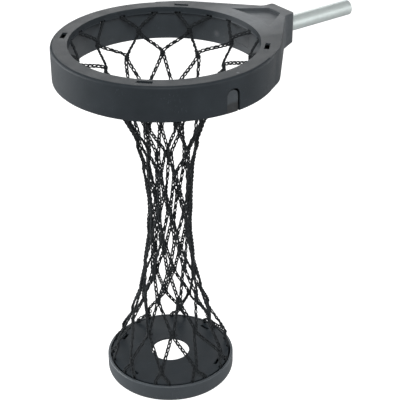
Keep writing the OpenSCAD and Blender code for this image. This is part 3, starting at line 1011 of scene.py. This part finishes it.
            # The band's last row is cut through the middle, so its joints are half as high
            is_cut = row == last
            half_height = self.wound_height * self.joint_half / (2 if is_cut else 1)
            lift = half_height * is_cut * UP
            odd = row % 2
            for mesh in range(self.meshes):
                one = self.joint(mesh, 1 if odd else -1, row)
                other = self.joint((mesh + odd) % self.meshes, -1 if odd else 1, row)
                middle = (one + other) / 2
                at = self.axis + middle + lift
                self.braid.tie(yarns, at, middle, half_width, half_height)
                around, out, _ = self.slack[(row, mesh)]
                if out > self.slack_from:
                    off = math.copysign(self.joint_off + self.slack_off, around)
                    beside = np.cross(UP, level_unit(middle)) * off
                    self.braid.open_loop(yarns, at + beside, middle)

    def build(self) -> None:
        """Make the four bands, each in place of its CAD node."""
        material = NET_YARN.material()
        for band in Band:
            yarns = YarnMesh()
            for mesh in range(self.meshes):
                self.lay_mesh(yarns, band, mesh)
            self.tie_joints(yarns, band)
            piece = yarns.build(band.node + "_braid")
            piece.data.materials.append(material)
            low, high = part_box(band.node)
            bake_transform(piece)
            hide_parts(band.node)
            LOG.info("%s: %d faces", piece.name, len(piece.data.polygons))


# ---- rigid pieces
class Node(Enum):
    """A carried-over CAD node and its finish."""

    HOOP_SHELL = ("hoop_shell", HOOP_PLASTIC)
    HOOP_LINER = ("hoop_liner", LINER_PLASTIC)
    ACCESS_COVER = ("access_cover", LINER_PLASTIC)
    TUBE = ("tube", TUBE_STEEL)
    TUBE_PLUG = ("tube_plug", PLUG_NYLON)
    TUBE_BOLT = ("tube_bolt", ZINC_PLATE)
    BOLT_WASHER = ("bolt_washer", ZINC_PLATE)
    BASE_PLATE = ("base_plate", PLATE_PLASTIC)
    BASE_RIM = ("base_rim", RIM_PLASTIC)

    def __init__(self, node: str, finish: Union[MouldedPlastic, DrawnSteel]) -> None:
        """Name the node and its finish."""
        self.node = node
        self.finish = finish


@dataclass
class HoopShell:
    """The hoop's shell, with the sharp edges of the arm's top rounded over."""

    outline_round: float = 3.3 * MM
    pocket_round: float = 0.9 * MM
    segments: int = 5
    corner_round: float = 5.5 * MM
    corner_reach: float = 14 * MM
    corner_segments: int = 8
    # The pocket: its middle from the arm's end, and its arc outside the hoop's round wall
    pocket_in: float = 35 * MM
    pocket_gap: float = 1 * MM
    # How edges are told apart: by height, the hoop's round wall, the arc and upright walls
    level: float = 0.05 * MM
    wall_play: float = 1 * MM
    arc_play: float = 0.5 * MM
    upright: float = 0.1
    # Cleaning the mesh, with angles in degrees
    weld: float = 0.002 * MM
    flat_angle: float = 0.3
    sharp_angle: float = 30.0

    def __post_init__(self) -> None:
        """Find the hoop's axis and radius, its top, and the middle of the arm's pocket."""
        low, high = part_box("hoop_shell")
        self.radius = (high.y - low.y) / 2
        self.top = high.z
        self.axis = Vector((low.x + self.radius, 0.0))
        self.pocket = Vector((high.x - self.pocket_in, 0.0))
        self.pocket_arc = self.radius + self.pocket_gap

    @staticmethod
    def bevel(
        shape: bmesh.types.BMesh, edges: list[bmesh.types.BMEdge], radius: float, segments: int
    ) -> None:
        """Round edges over, with a number of faces across each."""
        bmesh.ops.bevel(
            shape, geom=edges, offset=radius, offset_type="OFFSET", segments=segments,
            profile=0.5, affect="EDGES", clamp_overlap=True,
        )

    def arm_edges(self, shape: bmesh.types.BMesh, facing: int) -> list[bmesh.types.BMEdge]:
        """Sharp edges of the arm's top.

        Args:
            shape: The shell.
            facing: 1 for walls that face away from the pocket's middle, -1 for the pocket's own.

        Returns:
            The edges.
        """
        picked = []
        for edge in shape.edges:
            off_top = max(abs(vert.co.z - self.top) for vert in edge.verts)
            if not edge.is_manifold or off_top > self.level:
                continue
            middle = ((edge.verts[0].co + edge.verts[1].co) / 2).xy
            normals = [face.normal for face in edge.link_faces]
            walls = [normal.xy for normal in normals if abs(normal.z) < self.upright]
            if len(walls) == 1 and (middle - self.axis).length > self.radius - self.wall_play:
                if facing * walls[0].dot(middle - self.pocket) > 0:
                    picked.append(edge)
        return picked

    def round_corners(self, shape: bmesh.types.BMesh) -> None:
        """Round the two sharp upright corners where the pocket's straight walls meet its arc.

        Args:
            shape: The shell.
        """
        for side in (-1, 1):
            row = [
                edge
                for edge in shape.edges
                if side * edge.verts[0].co.y > 0
                and (edge.verts[0].co - edge.verts[1].co).xy.length < self.level
                and min(abs(vert.co.z - self.top) for vert in edge.verts) < self.level
                and abs((edge.verts[0].co.xy - self.axis).length - self.pocket_arc) < self.arc_play
            ]
            tip = max(row, key=lambda edge: side * edge.verts[0].co.y)
            corner = tip.verts[0].co.xy
            near = [
                edge
                for edge in row
                if edge is not tip and (edge.verts[0].co.xy - corner).length < self.corner_reach
            ]
            bmesh.ops.dissolve_edges(shape, edges=near, use_verts=True)
            self.bevel(shape, [tip], self.corner_round, self.corner_segments)
            LOG.info("hoop_shell: pocket corner on side %d, %d edges taken out", side, len(near))

    def build(self, material: bpy.types.Material) -> None:
        """Make the rounded shell in place of the CAD's.

        Args:
            material: Its finish.
        """
        shape = bmesh.new()
        shape.from_mesh(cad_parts["hoop_shell"].data)
        bmesh.ops.remove_doubles(shape, verts=shape.verts, dist=self.weld)
        flat = math.radians(self.flat_angle)
        bmesh.ops.dissolve_limit(shape, angle_limit=flat, verts=shape.verts, edges=shape.edges)
        self.round_corners(shape)
        for facing, radius in ((1, self.outline_round), (-1, self.pocket_round)):
            picked = self.arm_edges(shape, facing)
            self.bevel(shape, picked, radius, self.segments)
            LOG.info("hoop_shell: %d edges rounded by %.1f mm", len(picked), radius / MM)
        mesh = bpy.data.meshes.new("hoop_shell_rounded")
        shape.to_mesh(mesh)
        shape.free()
        mesh.materials.append(material)
        mesh.shade_smooth()
        mesh.set_sharp_from_angle(angle=math.radians(self.sharp_angle))
        piece = new_object("hoop_shell_rounded", mesh)
        even = piece.modifiers.new("even_normals", "WEIGHTED_NORMAL")
        even.keep_sharp = True
        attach(piece, "hoop")
        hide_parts("hoop_shell")


def dress_nodes() -> None:
    """Give each carried-over node its finish."""
    made: dict[str, bpy.types.Material] = {}
    for entry in Node:
        name = entry.finish.name
        if name not in made:
            made[name] = entry.finish.material()
        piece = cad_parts[entry.node]
        piece.data.materials.clear()
        piece.data.materials.append(made[name])
        LOG.info("%s: %s", entry.node, name)
    HoopShell().build(made[HOOP_PLASTIC.name])


# ---- studio
WHITE = (1.0, 1.0, 1.0, 1.0)


@dataclass(frozen=True)
class Lamp:
    """A square soft lamp.

    Its azimuth and elevation are in degrees, its distance and size in metres, its power in watts.
    """

    name: str
    azimuth: float
    elevation: float
    distance: float
    size: float
    power: float

    def hang(self, middle: Vector) -> None:
        """Hang the lamp so that it faces the middle of the object.

        Args:
            middle: The middle of the object.
        """
        data = bpy.data.lights.new(self.name, "AREA")
        data.shape = "SQUARE"
        data.size = self.size
        data.energy = self.power
        up = math.radians(self.elevation)
        outward = Vector(polar(math.cos(up), self.azimuth, math.sin(up)))
        lamp = new_object(self.name, data)
        lamp.location = middle + self.distance * outward
        lamp.rotation_euler = (-outward).to_track_quat("-Z", "Y").to_euler()


@dataclass
class Studio:
    """Camera, floor and light."""

    lens: float = 110.53
    eye: Place = (-1.1781, -1.2455, 0.6304)
    aim: Place = (-0.3538, -0.1183, -0.1507)
    roll: float = -0.335
    middle: Place = (-0.33, 0.0, -0.15)
    floor_z: float = -0.64
    floor_size: float = 14.0
    floor_speck: float = 0.2
    floor_greys: tuple[float, float] = (0.33, 0.37)
    floor_glow: float = 0.97
    gloss_share: float = 0.12
    world_light: float = 0.14
    world_white: float = 1.0
    LAMPS: ClassVar[tuple[Lamp, ...]] = (
        Lamp("back_lamp", 55, 25, 1.9, 1.1, 10.5),
        Lamp("left_lamp", 145, 10, 1.9, 1.1, 24.0),
        Lamp("far_left_lamp", 120, 5, 2.2, 1.5, 27.0),
        Lamp("front_left_lamp", 190, 15, 1.9, 1.1, 3.0),
        Lamp("front_lamp", 235, 45, 1.9, 1.1, 22.0),
        Lamp("front_right_lamp", -62, 12, 1.9, 1.1, 12.0),
        Lamp("right_lamp", -10, 5, 2.2, 1.5, 16.0),
    )

    def build_camera(self) -> None:
        """Set up the camera."""
        data = bpy.data.cameras.new("camera")
        data.lens = self.lens
        data.sensor_width = 36.0
        data.clip_end = 50.0
        camera = new_object("camera", data)
        toward = (Vector(self.aim) - Vector(self.eye)).to_track_quat("-Z", "Y").to_matrix()
        turn = toward @ Matrix.Rotation(math.radians(self.roll), 3, "Z")
        camera.matrix_world = Matrix.Translation(self.eye) @ turn.to_4x4()
        bpy.context.scene.camera = camera

    def seen(self, shader: Shader) -> Wire:
        """Which rays see the backdrop white, apart from the light that it gives.

        Args:
            shader: The backdrop's shader.

        Returns:
            1 for what the camera sees, also through glass, and a small share for gloss.
        """
        rays = shader.node("ShaderNodeLightPath")
        glossy = shader.wire(rays, "Is Glossy Ray") * self.gloss_share
        straight = shader.wire(rays, "Is Camera Ray") + glossy
        return (straight + shader.wire(rays, "Is Transmission Ray")).fit(0.0, 1.0)

    def build_floor(self) -> None:
        """Lay a pale floor that looks white to the camera and keeps shadows."""
        shader = Shader(bpy.data.materials.new("floor"))
        low, high = ((grey,) * 3 for grey in self.floor_greys)
        speck = shader.noise(self.floor_speck)
        colour = shader.tones(speck, [(NOISE_LOW, low), (NOISE_HIGH, high)])
        plain = shader.wire(shader.node("ShaderNodeBsdfDiffuse", inputs={"Color": colour}))
        inputs = {"Color": WHITE, "Strength": self.floor_glow}
        glow = shader.wire(shader.node("ShaderNodeEmission", inputs=inputs))
        both = shader.wire(shader.node("ShaderNodeAddShader", inputs={0: plain, 1: glow}))
        mix = shader.node("ShaderNodeMixShader", inputs={0: self.seen(shader), 1: plain, 2: both})
        shader.node("ShaderNodeOutputMaterial", inputs={"Surface": shader.wire(mix)})
        mesh = bpy.data.meshes.new("floor")
        half = self.floor_size / 2
        signs = ((-1, -1), (1, -1), (1, 1), (-1, 1))
        corners = [(x * half, y * half, self.floor_z) for x, y in signs]
        mesh.from_pydata(corners, [], [(0, 1, 2, 3)])
        mesh.materials.append(shader.owner)
        floor = new_object("floor", mesh)

    def build_world(self) -> None:
        """White behind everything, with a softer level for the light it gives."""
        world = bpy.data.worlds.new("studio")
        shader = Shader(world)
        levels = [{"Color": WHITE, "Strength": x} for x in (self.world_light, self.world_white)]
        dim, white = (shader.wire(shader.node("ShaderNodeBackground", inputs=x)) for x in levels)
        mix = shader.node("ShaderNodeMixShader", inputs={0: self.seen(shader), 1: dim, 2: white})
        shader.node("ShaderNodeOutputWorld", inputs={"Surface": shader.wire(mix)})
        bpy.context.scene.world = world

    def build(self) -> None:
        """Set up the whole studio."""
        self.build_camera()
        self.build_floor()
        self.build_world()
        for lamp in self.LAMPS:
            lamp.hang(Vector(self.middle))
        bpy.context.scene.view_settings.view_transform = "Standard"
        LOG.info("studio: camera, floor, world and %d lamps", len(self.LAMPS))


def main() -> None:
    """Build the looks in order."""
    logging.basicConfig(level=logging.INFO, format="%(message)s")
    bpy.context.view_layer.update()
    Studio().build()
    dress_nodes()
    Net().build()


if __name__ == "__main__":
    main()
